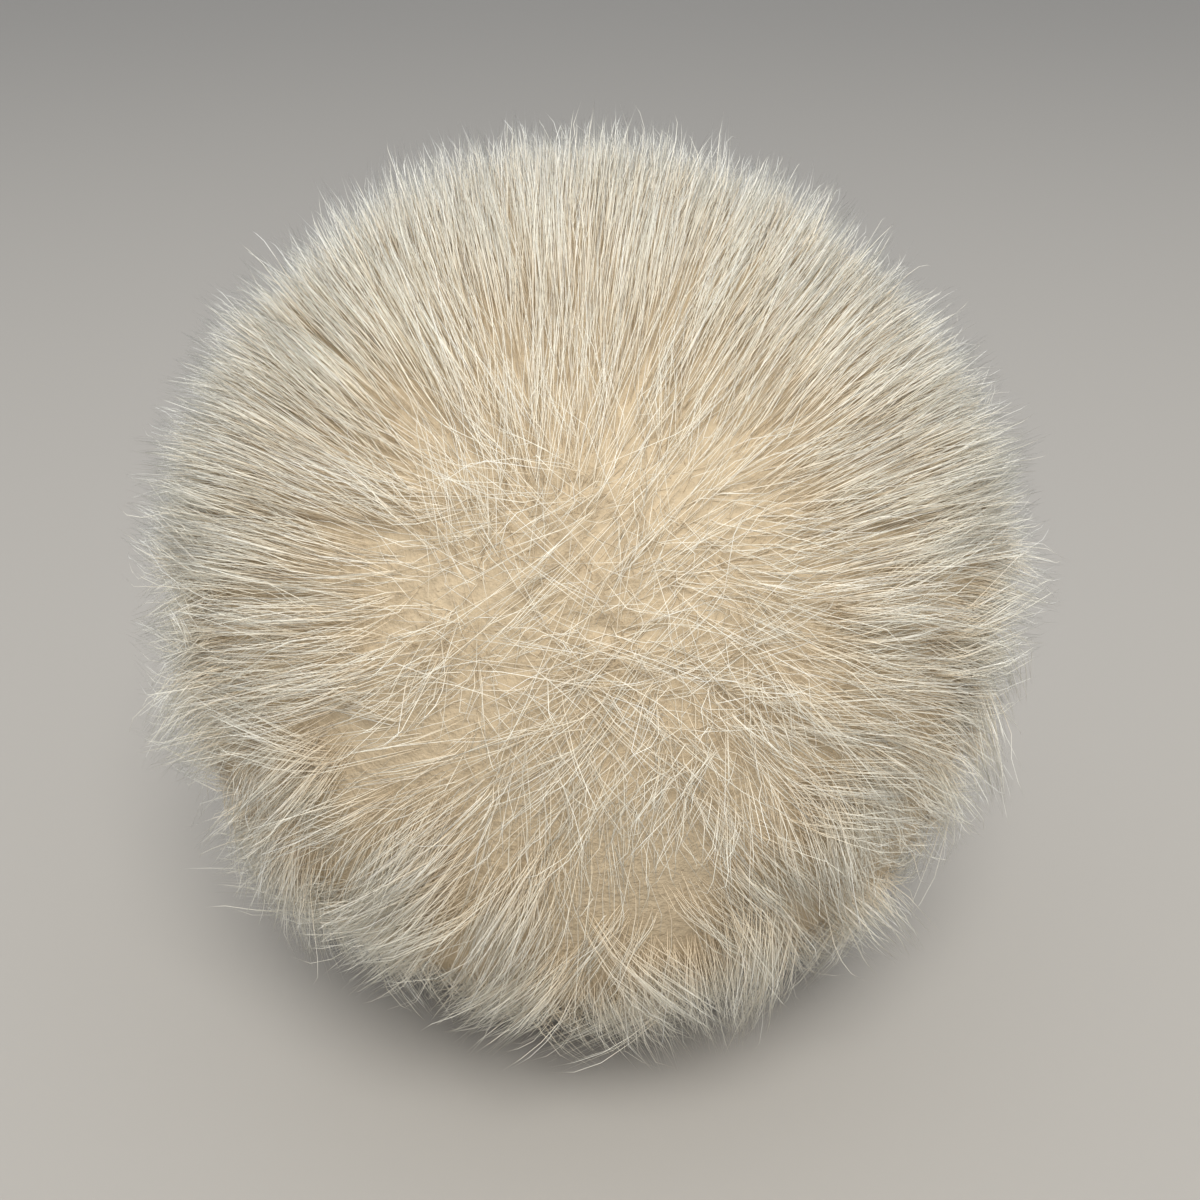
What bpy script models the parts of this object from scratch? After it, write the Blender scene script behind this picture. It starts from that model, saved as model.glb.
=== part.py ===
"""A pom pom: one round ball of long-pile faux fur, lying on a level surface.

Metres, +Z up. The origin is in the middle of the small flat spot on which the
ball rests, under the middle of its box. -Y is the front, where the pile falls
away from a tousled crown and spreads a little over the surface. The solid
reaches to the tips of the pile; single stray hairs are not part of it.
"""

import math
from collections import namedtuple

import bmesh
import bpy
from mathutils import Vector

# Outer sizes, to the tips of the pile.
WIDTH = 0.130
DEPTH = 0.130
HEIGHT = 0.1265

# The flat spot lies this far under the middle of a ball of radius 1.
REST_LEVEL = -0.94
# How much wider than a sphere the low sides are, where the weight settles.
SETTLE = 0.030
SETTLE_FROM = 0.25

# A sphere of this subdivision has 5120 triangles, about 4.5 mm along an edge.
SUBDIVISIONS = 5

# Where the pile stands proud in a tuft or is parted in a hollow. Azimuth turns
# from +X towards +Y, elevation is above the level, spread is the half-angle of
# the tuft, and rise is its height over the ball, all in degrees and millimetres.
Tuft = namedtuple("Tuft", "azimuth elevation spread rise")
TUFTS = (
    Tuft(azimuth=-92, elevation=12, spread=30, rise=-1.0),
    Tuft(azimuth=-96, elevation=-46, spread=40, rise=1.5),
    Tuft(azimuth=-60, elevation=-34, spread=20, rise=-0.5),
    Tuft(azimuth=-36, elevation=-28, spread=28, rise=1.5),
    Tuft(azimuth=-134, elevation=-42, spread=24, rise=-0.7),
    Tuft(azimuth=-152, elevation=-22, spread=30, rise=1.2),
    Tuft(azimuth=-128, elevation=-8, spread=22, rise=0.6),
    Tuft(azimuth=-8, elevation=6, spread=30, rise=0.9),
    Tuft(azimuth=12, elevation=42, spread=28, rise=-0.7),
    Tuft(azimuth=172, elevation=40, spread=32, rise=0.9),
    Tuft(azimuth=178, elevation=4, spread=26, rise=0.8),
    Tuft(azimuth=-74, elevation=76, spread=34, rise=1.0),
    Tuft(azimuth=96, elevation=50, spread=28, rise=0.8),
    Tuft(azimuth=58, elevation=10, spread=30, rise=0.9),
    Tuft(azimuth=92, elevation=-16, spread=26, rise=-0.6),
    Tuft(azimuth=128, elevation=-4, spread=30, rise=0.9),
    Tuft(azimuth=74, elevation=-42, spread=32, rise=1.2),
    Tuft(azimuth=150, elevation=-44, spread=30, rise=0.9),
    Tuft(azimuth=24, elevation=-40, spread=32, rise=0.9),
)

FUR_COLOR = (0.78, 0.70, 0.52, 1.0)
FUR_ROUGHNESS = 0.9
# Smooth shading breaks only at the rim of the flat spot.
RIM_ANGLE = math.radians(14)

MILLIMETRE = 0.001


def clear_scene():
    for obj in list(bpy.data.objects):
        bpy.data.objects.remove(obj, do_unlink=True)


def smooth_step(value):
    """0 below 0, 1 above 1, and an S curve between them."""
    value = min(max(value, 0.0), 1.0)
    return value * value * (3.0 - 2.0 * value)


def direction(azimuth, elevation):
    """The unit vector at an azimuth and an elevation in degrees."""
    turn, lift = math.radians(azimuth), math.radians(elevation)
    return Vector((math.cos(lift) * math.cos(turn), math.cos(lift) * math.sin(turn), math.sin(lift)))


def pile_rise(outward):
    """How far the tufts lift the pile along outward, for a ball of radius 1."""
    rise = 0.0
    for tuft in TUFTS:
        angle = math.degrees(outward.angle(direction(tuft.azimuth, tuft.elevation)))
        rise += tuft.rise * MILLIMETRE * smooth_step(1.0 - angle / tuft.spread)
    return rise / (WIDTH / 2)


def settled(point):
    """Widen the low sides, most of all just over the flat spot."""
    depth = (-point.z - SETTLE_FROM) / (-REST_LEVEL - SETTLE_FROM)
    widen = 1.0 + SETTLE * smooth_step(depth)
    return Vector((point.x * widen, point.y * widen, point.z))


def cut_flat_spot(mesh):
    """Cut the ball level at its foot and close it with one flat face."""
    geometry = mesh.verts[:] + mesh.edges[:] + mesh.faces[:]
    bmesh.ops.bisect_plane(
        mesh, geom=geometry, dist=1e-6, plane_co=(0, 0, REST_LEVEL), plane_no=(0, 0, -1), clear_outer=True
    )
    rim = [edge for edge in mesh.edges if edge.is_boundary]
    bmesh.ops.contextual_create(mesh, geom=rim)
    bmesh.ops.recalc_face_normals(mesh, faces=mesh.faces)


def fit_to_size(mesh):
    """Scale the ball to its outer sizes, with the middle of its foot at the origin."""
    low = [min(vert.co[axis] for vert in mesh.verts) for axis in range(3)]
    high = [max(vert.co[axis] for vert in mesh.verts) for axis in range(3)]
    foot = Vector(((low[0] + high[0]) / 2, (low[1] + high[1]) / 2, low[2]))
    scale = [size / (high[axis] - low[axis]) for axis, size in enumerate((WIDTH, DEPTH, HEIGHT))]
    for vert in mesh.verts:
        offset = vert.co - foot
        vert.co = Vector((offset.x * scale[0], offset.y * scale[1], offset.z * scale[2]))


def fur_material():
    material = bpy.data.materials.new("cream_fur")
    material.use_nodes = True
    shader = material.node_tree.nodes["Principled BSDF"]
    shader.inputs["Base Color"].default_value = FUR_COLOR
    shader.inputs["Roughness"].default_value = FUR_ROUGHNESS
    shader.inputs["Metallic"].default_value = 0.0
    return material


def fur_ball():
    """The whole pom pom as one closed solid with uneven, settled pile."""
    mesh = bmesh.new()
    bmesh.ops.create_icosphere(mesh, subdivisions=SUBDIVISIONS, radius=1.0)
    for vert in mesh.verts:
        outward = vert.co.normalized()
        vert.co = settled(outward * (1.0 + pile_rise(outward)))
    cut_flat_spot(mesh)
    fit_to_size(mesh)

    data = bpy.data.meshes.new("fur_ball")
    mesh.to_mesh(data)
    mesh.free()
    data.shade_smooth()
    data.set_sharp_from_angle(angle=RIM_ANGLE)
    ball = bpy.data.objects.new("fur_ball", data)
    bpy.context.scene.collection.objects.link(ball)
    return ball


def main():
    clear_scene()
    ball = fur_ball()
    ball.data.materials.append(fur_material())


main()
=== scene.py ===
"""A cream faux fur pom pom: a gathered ball of fur cloth with its whole pile, lying on a plain floor."""

import math
from collections import namedtuple

import bpy
import numpy as np
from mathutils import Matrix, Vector
from mathutils.bvhtree import BVHTree
from mathutils.kdtree import KDTree


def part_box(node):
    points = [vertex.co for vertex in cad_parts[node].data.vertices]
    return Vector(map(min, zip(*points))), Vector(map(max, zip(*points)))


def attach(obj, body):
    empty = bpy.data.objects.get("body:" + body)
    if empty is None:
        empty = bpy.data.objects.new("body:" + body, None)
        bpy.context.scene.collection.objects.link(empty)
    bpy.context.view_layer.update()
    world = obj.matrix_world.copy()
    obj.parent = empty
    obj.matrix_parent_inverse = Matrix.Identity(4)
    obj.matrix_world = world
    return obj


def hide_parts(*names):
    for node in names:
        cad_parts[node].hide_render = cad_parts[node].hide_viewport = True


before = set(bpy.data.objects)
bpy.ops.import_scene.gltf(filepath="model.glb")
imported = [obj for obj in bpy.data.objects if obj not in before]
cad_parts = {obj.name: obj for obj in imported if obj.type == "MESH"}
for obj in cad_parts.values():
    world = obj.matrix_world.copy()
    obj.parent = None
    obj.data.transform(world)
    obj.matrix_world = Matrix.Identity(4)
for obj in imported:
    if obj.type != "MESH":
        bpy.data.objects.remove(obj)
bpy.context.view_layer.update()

BALL = "fur_ball"
BODY = "root"

LOW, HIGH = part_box(BALL)
RADIUS = (HIGH.x - LOW.x) / 2
MIDDLE = Vector(((LOW.x + HIGH.x) / 2, (LOW.y + HIGH.y) / 2, HIGH.z - RADIUS))

MILLIMETRE = 0.001

bl_info = {
    "name": "Fur Pom Pom",
    "version": (1, 0, 0),
    "blender": (4, 5, 0),
    "location": "3D View > Sidebar > Pom Pom",
    "description": "Builds a faux fur pom pom and the plain floor it lies on",
    "category": "Object",
}


# ---------------------------------------------------------------------------
# Settings
# ---------------------------------------------------------------------------


class BackingSettings(bpy.types.PropertyGroup):
    """The gathered ball of cloth under the pile"""

    depth: bpy.props.FloatProperty(
        name="Depth",
        description="Size of the matted ball beside the whole pom pom",
        default=0.85,
        subtype="FACTOR",
    )
    colour: bpy.props.FloatVectorProperty(
        name="Colour",
        description="Colour of the dense wool next to the backing",
        subtype="COLOR",
        size=3,
        default=(0.60, 0.48, 0.32),
    )


class PileSettings(bpy.types.PropertyGroup):
    """How many hairs the pile has, and their colours"""

    wool_count: bpy.props.IntProperty(
        name="Wool hairs", description="Short hairs that fill the depth of the pile", default=44000
    )
    pile_count: bpy.props.IntProperty(
        name="Pile hairs", description="Hairs of the main pile", default=28000
    )
    guard_count: bpy.props.IntProperty(
        name="Guard hairs",
        description="Long waved hairs, before they are thinned over the top",
        default=8000,
    )
    root_colour: bpy.props.FloatVectorProperty(
        name="Root colour", description="Colour of the hairs at the root", subtype="COLOR", size=3,
        default=(0.72, 0.59, 0.41),
    )
    # Painted shade: the darker, greyer colour given to the hairs under the ball, near the floor.
    painted_shade_colour: bpy.props.FloatVectorProperty(
        name="Painted shade colour", description="Colour of the hairs near the floor", subtype="COLOR", size=3,
        default=(0.66, 0.61, 0.54),
    )
    warm_colour: bpy.props.FloatVectorProperty(
        name="Warm colour", description="Colour of the creamiest hairs", subtype="COLOR", size=3,
        default=(0.92, 0.89, 0.77),
    )
    # Partly painted rim light: most of the whitest, coolest hairs lie at the rim round the crown, and some
    # are white at random.
    cool_colour: bpy.props.FloatVectorProperty(
        name="Cool colour", description="Colour of the whitest hairs", subtype="COLOR", size=3,
        default=(0.92, 0.92, 0.87),
    )


class StageSettings(bpy.types.PropertyGroup):
    """The floor, the lights and the camera"""

    floor_colour: bpy.props.FloatVectorProperty(
        name="Floor colour", description="Colour of the plain floor", subtype="COLOR", size=3,
        default=(0.38, 0.36, 0.33),
    )
    camera_height: bpy.props.FloatProperty(
        name="Camera elevation",
        description="Angle at which the camera looks down",
        subtype="ANGLE",
        default=math.radians(25),
    )
    camera_distance: bpy.props.FloatProperty(
        name="Camera distance", description="From the middle of the ball", unit="LENGTH", default=0.214
    )


# ---------------------------------------------------------------------------
# Materials
# ---------------------------------------------------------------------------

PILE_MATERIAL = "cream_pile"
PILE_MAP = "OFBake"
# The shares of a hair's length between which its tan root turns to the colour of its body.
ROOT_FADE = (0.15, 0.80)
# The matted wool: noise cells to the metre, how dark its dark tone is and how deep its relief.
MATTED_SCALE = 900.0
MATTED_SHADE = 0.70
MATTED_DEPTH = 0.8 * MILLIMETRE


class Wire:
    """A shader socket from which the next nodes are built."""

    def __init__(self, tree, socket=None):
        self.tree = tree
        self.socket = socket

    def node(self, kind, settings=None, output=0, **inputs):
        """An output of a new node, whose settings are made first and then its inputs set or linked."""
        made = self.tree.nodes.new(kind)
        for name, value in (settings or {}).items():
            setattr(made, name, value)
        for name, value in inputs.items():
            key = int(name[1:]) if name[1:].isdigit() else name.replace("_", " ")
            if isinstance(value, Wire):
                value.feed(made.inputs[key])
            else:
                made.inputs[key].default_value = value
        return Wire(self.tree, made.outputs[output])

    def feed(self, target):
        """Link this socket to an input."""
        self.tree.links.new(self.socket, target)

    def part(self, letter):
        """One component of this vector."""
        return self.node("ShaderNodeSeparateXYZ", output=letter, Vector=self)

    def mix(self, first, second):
        """first where this socket is 0 and second where it is 1, for colours."""
        settings = {"data_type": "RGBA", "blend_type": "MIX"}
        return self.node("ShaderNodeMix", settings, output=2, _0=self, _6=first, _7=second)

    def ramp(self, start, end):
        """0 below start, 1 above end, and an S curve between them."""
        settings = {"interpolation_type": "SMOOTHSTEP"}
        return self.node("ShaderNodeMapRange", settings, Value=self, From_Min=start, From_Max=end)


def new_material(name):
    """A material, a wire to build its tree from and its shader."""
    material = bpy.data.materials.new(name)
    material.use_nodes = True
    tree = material.node_tree
    return material, Wire(tree), tree.nodes["Principled BSDF"]


def opaque(colour):
    return (*colour, 1.0)


def pile_material(pile):
    """Cream hairs: tan at the root, then shaded, creamy or white by the tone of each hair: the shaded tone
    is painted shade under the ball, and the white is partly painted rim light.
    """
    material, wire, shader = new_material(PILE_MATERIAL)
    place = wire.node("ShaderNodeUVMap", {"uv_map": PILE_MAP}, output="UV")
    tone, along = place.part("X"), place.part("Y")
    # Painted shade: the hairs under the ball blend from this darker colour into the cream.
    shade_to_cream = tone.ramp(0.0, 0.5).mix(opaque(pile.painted_shade_colour), opaque(pile.warm_colour))
    # Painted rim light: the cool white goes mostly to the hairs at the rim.
    body = tone.ramp(0.5, 1.0).mix(shade_to_cream, opaque(pile.cool_colour))
    along.ramp(*ROOT_FADE).mix(opaque(pile.root_colour), body).feed(shader.inputs["Base Color"])
    shader.inputs["Roughness"].default_value = 0.55
    shader.inputs["Specular IOR Level"].default_value = 0.30
    return material


def backing_material(backing):
    """Dense matted wool of two tones, with a fine uneven relief."""
    material, wire, shader = new_material("matted_wool")
    spot = wire.node("ShaderNodeTexCoord", output="Object")
    fibres = wire.node("ShaderNodeTexNoise", output="Fac", Vector=spot, Scale=MATTED_SCALE,
                       Detail=4.0, Roughness=0.6)
    dark = tuple(MATTED_SHADE * part for part in backing.colour)
    fibres.mix(opaque(dark), opaque(backing.colour)).feed(shader.inputs["Base Color"])
    relief = wire.node("ShaderNodeBump", output="Normal", Strength=0.8, Distance=MATTED_DEPTH,
                       Height=fibres)
    relief.feed(shader.inputs["Normal"])
    shader.inputs["Roughness"].default_value = 0.95
    return material


def floor_material(stage):
    """Plain matt floor."""
    material, _, shader = new_material("plain_floor")
    shader.inputs["Base Color"].default_value = opaque(stage.floor_colour)
    shader.inputs["Roughness"].default_value = 0.7
    return material


# ---------------------------------------------------------------------------
# How the pile lies
# ---------------------------------------------------------------------------

# The pile parts round a tousled crown at the front, a little above level.
CROWN_AZIMUTH = math.radians(-88.5)
CROWN_ELEVATION = math.radians(20)
CROWN = np.array([
    math.cos(CROWN_ELEVATION) * math.cos(CROWN_AZIMUTH),
    math.cos(CROWN_ELEVATION) * math.sin(CROWN_AZIMUTH),
    math.sin(CROWN_ELEVATION),
])
# How far the combed pile leans away from the crown, in radians, and the share lost at the far side.
LEAN = 0.36
LEAN_LOST = 0.70
# How far the pile sags towards the floor, at the front and at the far side, and how far it drifts.
SAG_NEAR = 0.04
SAG_FAR = 0.12
DRIFT = 0.05


def unit(vectors):
    return vectors / np.maximum(np.linalg.norm(vectors, axis=-1, keepdims=True), 1e-9)


def smooth(value, start=0.0, end=1.0):
    """0 below start, 1 above end, and an S curve between them."""
    value = np.clip((value - start) / (end - start), 0.0, 1.0)
    return value * value * (3.0 - 2.0 * value)


def even_directions(count, rng, jitter=0.6):
    """Unit vectors spread evenly over the whole ball, each moved by part of their spacing."""
    number = np.arange(count) + 0.5
    up = 1.0 - 2.0 * number / count
    turn = number * math.pi * (3.0 - math.sqrt(5.0))
    flat = np.sqrt(1.0 - up * up)
    spread = np.stack([flat * np.cos(turn), flat * np.sin(turn), up], axis=1)
    spacing = math.sqrt(4.0 * math.pi / count)
    return unit(spread + rng.normal(size=(count, 3)) * spacing * jitter)


def reach(directions):
    """How far the ball of the frame reaches from its middle along each direction."""
    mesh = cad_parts[BALL].data
    tree = BVHTree.FromPolygons([v.co for v in mesh.vertices], [p.vertices for p in mesh.polygons])
    far = np.empty(len(directions))
    for index, direction in enumerate(directions):
        hit = tree.ray_cast(MIDDLE, Vector(direction))
        far[index] = hit[3] if hit[3] is not None else RADIUS
    return far


def across(directions, wanted):
    """The part of wanted that is square to each direction."""
    return wanted - (wanted * directions).sum(axis=1, keepdims=True) * directions


def drift(directions, rng, size):
    """A slow swirl over the ball, from six long waves, so that the pile doesn't run perfectly straight."""
    swirl = np.zeros(directions.shape)
    for _ in range(6):
        wave = rng.normal(size=(3, 3)) * 2.5
        swirl += np.sin(directions @ wave + rng.random(3) * 2.0 * math.pi)
    return across(directions, swirl) * size / math.sqrt(3.0)


def from_crown(directions):
    """The angle of each direction from the crown, in degrees."""
    return np.degrees(np.arccos(np.clip(directions @ CROWN, -1.0, 1.0)))


def evenness(directions):
    """1 where the pile is combed smooth, over the top, and 0 where it falls in locks."""
    return smooth(directions[:, 2], 0.0, 0.55)


def tousled(directions):
    """1 in the crown, where the hairs cross each other every way, and 0 round it."""
    return 1.0 - smooth(from_crown(directions), 6, 27)


def by_zone(directions, even, loose, crown):
    """A size for each direction: even over the top, loose in the locks and crown in the crown."""
    smoothness, mess = evenness(directions), tousled(directions)
    return (even * smoothness + loose * (1.0 - smoothness)) * (1.0 - mess) + crown * mess


def comb(directions):
    """Which way the pile leans, as a vector along the surface whose length is the lean in radians."""
    angle = from_crown(directions)
    away = unit(across(directions, -np.broadcast_to(CROWN, directions.shape)))
    down = across(directions, np.broadcast_to((0.0, 0.0, -1.0), directions.shape))
    lean = LEAN * smooth(angle, 4, 30) * (1.0 - LEAN_LOST * smooth(angle, 60, 140))
    sag = SAG_NEAR + SAG_FAR * smooth(angle, 90, 150)
    swirl = drift(directions, np.random.default_rng(5), DRIFT)
    return away * lean[:, None] + down * sag[:, None] + swirl


def stray(directions, rng, even, loose, crown):
    """A random lean for each direction, in radians, of a size that its zone gives."""
    size = by_zone(directions, even, loose, crown)
    return across(directions, rng.normal(size=directions.shape)) * size[:, None]


def nearest(directions, guides):
    """The number of the guide that is nearest to each direction."""
    tree = KDTree(len(guides))
    for index, guide in enumerate(guides):
        tree.insert(guide, index)
    tree.balance()
    return np.array([tree.find(direction)[1] for direction in directions])


def drawn_to(paths, guides, hold, late, along):
    """Draw each hair towards its guide, more and more along its length."""
    return paths + (guides - paths) * hold[:, None, None] * along ** late[:, None, None]


def waved(paths, directions, rng, size, along):
    """Give each hair a soft wave of one to two turns that grows towards its tip."""
    count = len(paths)
    side, other = rng.normal(size=(2, count, 1, 3))
    phase = rng.random((count, 1, 1)) * 2.0 * math.pi
    turns = (1.0 + 1.0 * rng.random((count, 1, 1))) * 2.0 * math.pi
    swing = side * np.sin(turns * along + phase) + other * np.cos(turns * along + phase)
    return paths + swing * (size * by_zone(directions, 0.4, 1.0, 1.6))[:, None, None] * along


def pressed_on_floor(paths, directions, rng, along):
    """Splay the lowest hairs over the floor and keep every hair above it."""
    points = paths.copy()
    flat = points[:, :, :2]
    outward = flat / np.maximum(np.linalg.norm(flat, axis=2, keepdims=True), 1e-6)
    lowness = smooth(-directions[:, 2], 0.45, 0.85)
    splay = (1.0 + 6.0 * rng.random(len(points))) * MILLIMETRE * lowness
    points[:, :, :2] += outward * splay[:, None, None] * along**2
    rest = (0.4 + 3.5 * rng.random(len(points))[:, None] ** 2) * MILLIMETRE
    low = np.maximum(rest - (points[:, :, 2] + MIDDLE.z), 0.0)
    points[:, :, :2] += outward * low[:, :, None] * 0.8
    points[:, :, 2] += low
    return points


class Lay:
    """The locks, and the wisps in each lock, that every layer of hair shares."""

    LOCKS = 1300
    WISPS = 11000
    SEED = 11

    def __init__(self, root, steps):
        rng = np.random.default_rng(self.SEED)
        self.root = root
        self.along = np.asarray(steps)[None, :, None]
        locks = even_directions(self.LOCKS, rng)
        lock_stray = stray(locks, rng, 0.025, 0.14, 0.20)
        lock_length = 1.0 - by_zone(locks, 0.03, 0.15, 0.10) * rng.random(self.LOCKS)
        lock_paths = self.grown(locks, comb(locks) + lock_stray, lock_length)

        self.wisps = even_directions(self.WISPS, rng)
        member = nearest(self.wisps, locks)
        self.wisp_stray = lock_stray[member] + stray(self.wisps, rng, 0.025, 0.05, 0.14)
        self.wisp_length = lock_length[member] * (1.03 - 0.09 * rng.random(self.WISPS))
        paths = self.grown(self.wisps, comb(self.wisps) + self.wisp_stray, self.wisp_length)
        hold = by_zone(self.wisps, 0.10, 0.70, 0.40)
        late = by_zone(self.wisps, 3.0, 1.7, 1.7)
        self.wisp_paths = drawn_to(paths, lock_paths[member], hold, late, self.along)

    def grown(self, directions, lean, length):
        """One curved path for each hair, from its root to its tip, as points round the ball's middle."""
        start = self.root * reach(directions)
        end = reach(unit(directions + lean)) * length
        heading = unit(directions[:, None, :] + lean[:, None, :] * self.along**1.2)
        return heading * (start[:, None, None] + (end - start)[:, None, None] * self.along**0.9)

    def hairs(self, directions, own_stray, own_length, rng):
        """Paths of hairs that lie with their wisp and gather to it: late where it is smooth."""
        member = nearest(directions, self.wisps)
        lean = comb(directions) + self.wisp_stray[member] + own_stray
        paths = self.grown(directions, lean, self.wisp_length[member] * own_length)
        hold = by_zone(directions, 0.75, 0.80, 0.50) * (0.45 + 0.55 * rng.random(len(directions)))
        late = by_zone(directions, 4.0, 2.0, 2.0)
        return drawn_to(paths, self.wisp_paths[member], hold, late, self.along)


# ---------------------------------------------------------------------------
# Hair meshes
# ---------------------------------------------------------------------------

SIDES = 3
# How much of its thickness a hair has lost where it reaches its tip.
TAPER = 0.55
# The width of a hair on the map, on which its tone is the place across and its length the way up.
MAP_STRIP = 3.0 / 1024


def hair_points(paths, thickness, steps, rng):
    """The points of each hair: its root, a ring for each step between, and its tip."""
    count, points = paths.shape[:2]
    run = unit(paths[:, 2:] - paths[:, :-2])
    side = unit(np.cross(run, rng.normal(size=(count, 1, 3))))
    other = np.cross(run, side)
    taper = 1.0 - TAPER * np.asarray(steps[1:-1]) ** 1.5
    width = thickness[:, None, None] * taper[None, :, None] / 2
    made = np.empty((count, 2 + (points - 2) * SIDES, 3))
    made[:, 0], made[:, -1] = paths[:, 0], paths[:, -1]
    for corner in range(SIDES):
        turn = 2.0 * math.pi * corner / SIDES
        outward = side * math.cos(turn) + other * math.sin(turn)
        made[:, 1 + corner : -1 : SIDES] = paths[:, 1:-1] + outward * width
    return made


def hair_faces(steps):
    """The triangles of one closed hair, as the numbers of its points, facing outwards."""
    tip = 1 + (len(steps) - 2) * SIDES
    last = tip - SIDES
    faces = []
    for corner in range(SIDES):
        after = (corner + 1) % SIDES
        faces.append((0, 1 + after, 1 + corner))
        for low in range(1, last, SIDES):
            high = low + SIDES
            faces.append((low + corner, low + after, high + after))
            faces.append((low + corner, high + after, high + corner))
        faces.append((last + corner, last + after, tip))
    return np.array(faces, dtype=np.int32)


def hair_map(tones, steps):
    """The place of each point of each hair on the map."""
    places = np.empty((len(tones), 2 + (len(steps) - 2) * SIDES, 2))
    places[:, :, 0] = (MAP_STRIP + tones * (1.0 - 2.0 * MAP_STRIP))[:, None]
    places[:, 0, 1], places[:, -1, 1] = 0.0, 1.0
    for corner in range(SIDES):
        places[:, 1 + corner : -1 : SIDES, 0] += (corner - 1) * MAP_STRIP / 2
        places[:, 1 + corner : -1 : SIDES, 1] = steps[1:-1]
    return places


def hair_mesh(name, paths, thickness, tones, steps, rng):
    """Closed, tapered hairs of three sides along paths, joined in one mesh with their own map."""
    points = hair_points(paths, thickness, steps, rng)
    count, per_hair = points.shape[:2]
    first = np.arange(count, dtype=np.int32) * per_hair
    every = (hair_faces(steps)[None] + first[:, None, None]).reshape(-1)

    mesh = bpy.data.meshes.new(name)
    mesh.vertices.add(count * per_hair)
    mesh.vertices.foreach_set("co", (points + np.array(MIDDLE)).astype(np.float32).reshape(-1))
    mesh.loops.add(len(every))
    mesh.loops.foreach_set("vertex_index", every)
    mesh.polygons.add(len(every) // 3)
    mesh.polygons.foreach_set("loop_start", np.arange(0, len(every), 3, dtype=np.int32))
    layer = mesh.uv_layers.new(name=PILE_MAP)
    places = hair_map(tones, steps).reshape(-1, 2)[every]
    layer.data.foreach_set("uv", places.astype(np.float32).reshape(-1))
    mesh.polygons.foreach_set("use_smooth", np.ones(len(every) // 3, dtype=bool))
    mesh.update()
    mesh.validate()
    piece = bpy.data.objects.new(name, mesh)
    bpy.context.scene.collection.objects.link(piece)
    return piece


def finish_piece(piece, material):
    """Give a piece its material, and let it ride with the ball and stand for it."""
    piece.data.materials.append(material)
    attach(piece, BODY)
    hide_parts(BALL)


def tones_of(directions, rng):
    """0 for the hairs under the ball, darkened as painted shade by the floor, a half for the creamiest and
    1 for the whitest, lightened as painted rim light at the rim; each hair's tone also varies at random.
    """
    # Painted rim light: hairs turn whiter and cooler the further they lie from the crown, towards the rim.
    tone = 0.50 + 0.40 * smooth(from_crown(directions), 25, 80)
    # Painted shade: hairs towards the bottom of the ball, by the floor, turn darker and greyer.
    tone -= 0.75 * smooth(-directions[:, 2], 0.30, 0.95)
    return np.clip(tone + 0.17 * rng.normal(size=len(directions)), 0.0, 1.0)


# ---------------------------------------------------------------------------
# Operators
# ---------------------------------------------------------------------------


class POMPOM_OT_backing(bpy.types.Operator):
    """Gathered ball of backing cloth, matted with wool"""

    bl_idname = "pompom.backing"
    bl_label = "Backing"

    def execute(self, context):
        backing = context.scene.pompom_backing
        bpy.ops.object.select_all(action="DESELECT")
        piece = bpy.data.objects.new("backing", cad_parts[BALL].data.copy())
        piece.data.name = "backing"
        piece.data.materials.clear()
        context.scene.collection.objects.link(piece)
        piece.select_set(True)
        context.view_layer.objects.active = piece
        bpy.ops.object.mode_set(mode="EDIT")
        bpy.ops.mesh.select_all(action="SELECT")
        bpy.ops.mesh.remove_doubles(threshold=1e-6)
        bpy.ops.transform.resize(value=(backing.depth,) * 3, center_override=MIDDLE)
        bpy.ops.object.mode_set(mode="OBJECT")
        smoother = piece.modifiers.new("even", "SUBSURF")
        smoother.levels = smoother.render_levels = 1
        bpy.ops.object.modifier_apply(modifier=smoother.name)
        bpy.ops.object.shade_smooth()
        finish_piece(piece, backing_material(backing))
        return {"FINISHED"}


# Each layer of hair: the steps along a hair, its random lean in the even, loose and crown zones in
# radians, its longest length and how uneven it is as shares of the pile, and the rest in millimetres.
Layer = namedtuple("Layer", "seed steps even loose crown longest uneven thinnest thickest wave")
WOOL = Layer(21, (0, 0.5, 1), 0.03, 0.05, 0.20, 0.99, 0.08, 0.10, 0.15, 0.0)
PILE = Layer(31, (0, 0.38, 0.72, 1), 0.03, 0.06, 0.24, 1.0, 0.07, 0.08, 0.12, 0.15)
GUARD = Layer(41, (0, 0.35, 0.55, 0.72, 0.87, 1), 0.04, 0.08, 0.26, 1.02, 0.07, 0.08, 0.13, 0.30)

# How deep the roots start inside the backing, as a share of the ball.
ROOTED = 0.02

ZONES = ("crown", "front", "right", "back", "left", "skirt")


def zone_of(directions):
    """The zone in which each direction lies."""
    turn = np.degrees(np.arctan2(directions[:, 1], directions[:, 0]))
    zone = 1 + np.round((turn + 90.0) / 90.0).astype(int) % 4
    zone[directions[:, 2] > 0.52] = 0
    zone[directions[:, 2] < -0.5] = 5
    return zone


def half_of(directions):
    """0 for the half of the ball that faces the crown and 1 for the other."""
    return (directions @ CROWN < 0).astype(int)


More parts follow.
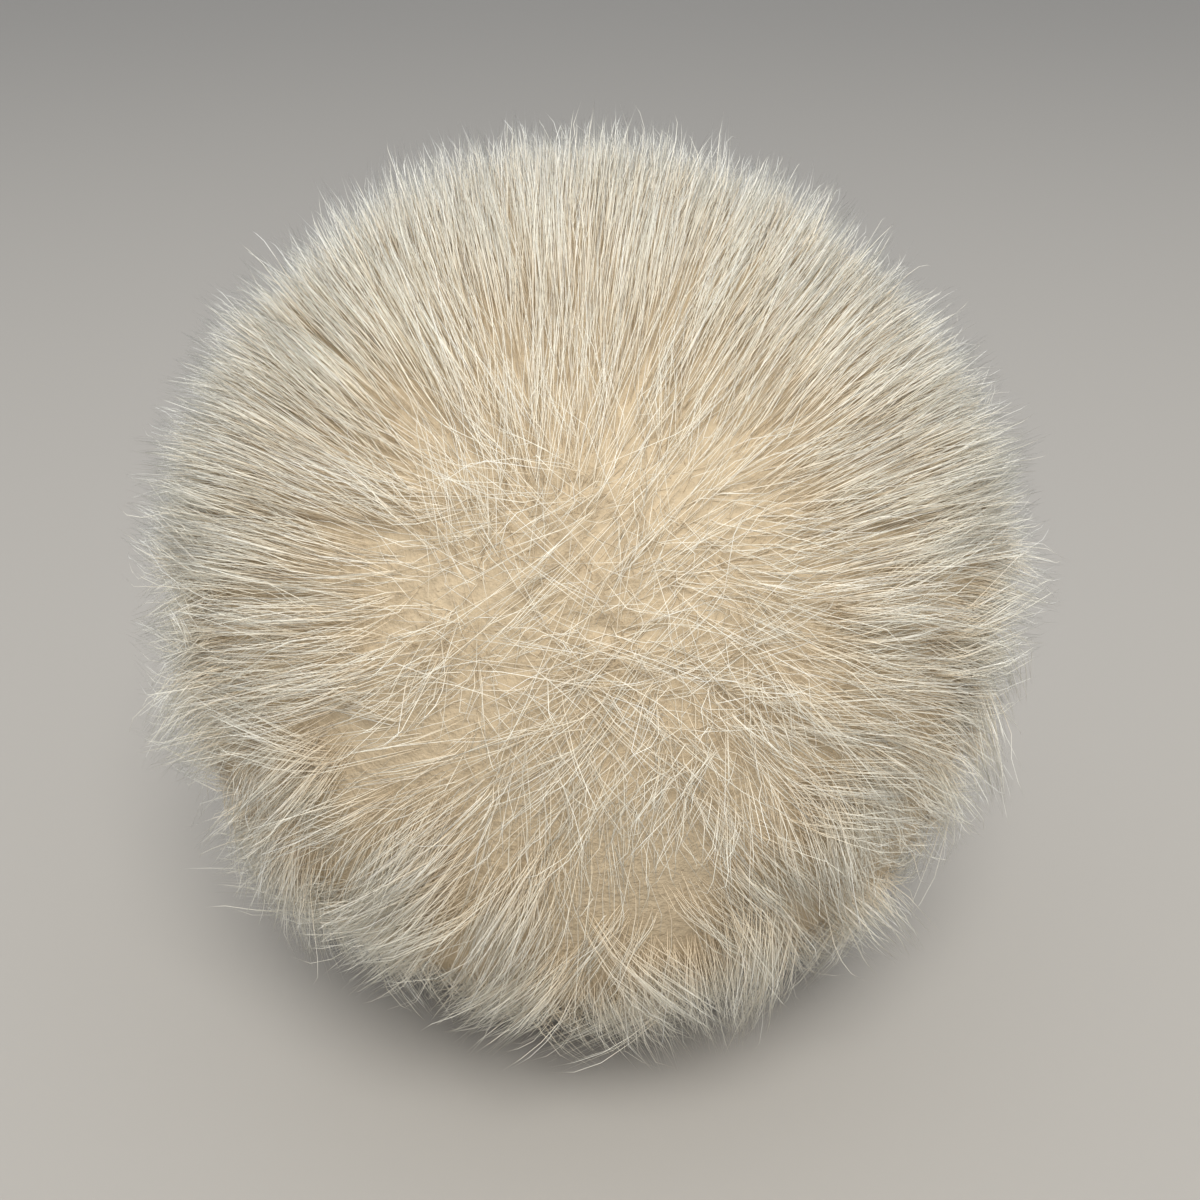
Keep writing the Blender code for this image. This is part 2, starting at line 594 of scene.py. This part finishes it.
def grow_layer(context, layer, directions, rng, names, piece_of):
    """Grow one layer of hair, a hair for each direction, in the named pieces that piece_of numbers."""
    lay = Lay(context.scene.pompom_backing.depth - ROOTED, layer.steps)
    count = len(directions)
    own_stray = stray(directions, rng, layer.even, layer.loose, layer.crown)
    own_length = layer.longest - layer.uneven * rng.random(count)
    paths = lay.hairs(directions, own_stray, own_length, rng)
    paths = waved(paths, directions, rng, layer.wave * MILLIMETRE, lay.along)
    paths = pressed_on_floor(paths, directions, rng, lay.along)
    thickness = (layer.thinnest + (layer.thickest - layer.thinnest) * rng.random(count)) * MILLIMETRE
    tones = tones_of(directions, rng)
    material = bpy.data.materials.get(PILE_MATERIAL) or pile_material(context.scene.pompom_pile)
    number = piece_of(directions)
    for index, name in enumerate(names):
        chosen = number == index
        piece = hair_mesh(name, paths[chosen], thickness[chosen], tones[chosen], layer.steps, rng)
        finish_piece(piece, material)


class POMPOM_OT_wool(bpy.types.Operator):
    """Short wool that fills the depth of the pile"""

    bl_idname = "pompom.wool"
    bl_label = "Wool"

    def execute(self, context):
        rng = np.random.default_rng(WOOL.seed)
        directions = even_directions(context.scene.pompom_pile.wool_count, rng)
        grow_layer(context, WOOL, directions, rng, ("wool_front", "wool_back"), half_of)
        return {"FINISHED"}


class POMPOM_OT_pile(bpy.types.Operator):
    """Main pile, one piece for each zone of the ball"""

    bl_idname = "pompom.pile"
    bl_label = "Pile"

    def execute(self, context):
        rng = np.random.default_rng(PILE.seed)
        directions = even_directions(context.scene.pompom_pile.pile_count, rng)
        grow_layer(context, PILE, directions, rng, ["pile_" + zone for zone in ZONES], zone_of)
        return {"FINISHED"}


class POMPOM_OT_guard(bpy.types.Operator):
    """Long waved hairs over the pile, thicker in the crown and the locks"""

    bl_idname = "pompom.guard"
    bl_label = "Guard hairs"

    def execute(self, context):
        rng = np.random.default_rng(GUARD.seed)
        directions = even_directions(context.scene.pompom_pile.guard_count, rng)
        kept = rng.random(len(directions)) < by_zone(directions, 0.45, 1.0, 1.0)
        grow_layer(context, GUARD, directions[kept], rng, ("guard_front", "guard_back"), half_of)
        return {"FINISHED"}


FLOOR_SIZE = 12.0
# Above and in front of the ball, a little to its right.
KEY_PLACE = (0.10, -1.0, 1.30)
# From the middle of the ball to the middle of the view.
VIEW_SHIFT = Vector((1.5, 0.0, -3.0)) * MILLIMETRE


def area_light(name, place, target, size, power, colour):
    """A round soft light that faces its target."""
    data = bpy.data.lights.new(name, "AREA")
    data.shape = "DISK"
    data.size = size
    data.energy = power
    data.color = colour
    light = bpy.data.objects.new(name, data)
    light.location = place
    light.rotation_euler = (Vector(target) - Vector(place)).to_track_quat("-Z", "Y").to_euler()
    bpy.context.scene.collection.objects.link(light)


class POMPOM_OT_stage(bpy.types.Operator):
    """Plain floor, soft studio lights and the camera"""

    bl_idname = "pompom.stage"
    bl_label = "Stage"

    def execute(self, context):
        stage = context.scene.pompom_stage
        bpy.ops.object.select_all(action="DESELECT")
        bpy.ops.mesh.primitive_plane_add(size=FLOOR_SIZE, location=(0, 0, LOW.z))
        floor = context.object
        floor.name = floor.data.name = "floor"
        floor.data.materials.append(floor_material(stage))

        area_light("key", KEY_PLACE, MIDDLE, size=0.90, power=28.0, colour=(1.0, 0.99, 0.97))

        world = bpy.data.worlds.new("studio")
        world.use_nodes = True
        surround = world.node_tree.nodes["Background"]
        surround.inputs["Color"].default_value = (0.95, 0.97, 1.0, 1.0)
        surround.inputs["Strength"].default_value = 0.62
        context.scene.world = world
        context.scene.view_settings.view_transform = "Standard"

        camera = bpy.data.objects.new("camera", bpy.data.cameras.new("camera"))
        camera.data.lens = 45.0
        camera.data.sensor_width = 36.0
        camera.data.clip_start = 0.01
        lift = stage.camera_height
        away = Vector((0.0, -math.cos(lift), math.sin(lift)))
        target = MIDDLE + VIEW_SHIFT
        camera.location = target + away * stage.camera_distance
        camera.rotation_euler = (-away).to_track_quat("-Z", "Y").to_euler()
        context.scene.collection.objects.link(camera)
        context.scene.camera = camera
        return {"FINISHED"}


class POMPOM_PT_panel(bpy.types.Panel):
    """Lists the steps that build the pom pom"""

    bl_label = "Pom Pom"
    bl_idname = "POMPOM_PT_panel"
    bl_space_type = "VIEW_3D"
    bl_region_type = "UI"
    bl_category = "Pom Pom"

    def draw(self, context):
        for step in STEPS:
            self.layout.operator(step.bl_idname)


STEPS = (POMPOM_OT_backing, POMPOM_OT_wool, POMPOM_OT_pile, POMPOM_OT_guard, POMPOM_OT_stage)
SETTINGS = {
    "pompom_backing": BackingSettings,
    "pompom_pile": PileSettings,
    "pompom_stage": StageSettings,
}


def register():
    for group in SETTINGS.values():
        bpy.utils.register_class(group)
    for step in (*STEPS, POMPOM_PT_panel):
        bpy.utils.register_class(step)
    for name, group in SETTINGS.items():
        setattr(bpy.types.Scene, name, bpy.props.PointerProperty(type=group))


def unregister():
    for name in SETTINGS:
        delattr(bpy.types.Scene, name)
    for made in (POMPOM_PT_panel, *reversed(STEPS), *SETTINGS.values()):
        bpy.utils.unregister_class(made)


def main():
    register()
    bpy.ops.pompom.backing()
    bpy.ops.pompom.wool()
    bpy.ops.pompom.pile()
    bpy.ops.pompom.guard()
    bpy.ops.pompom.stage()


if __name__ == "__main__":
    main()
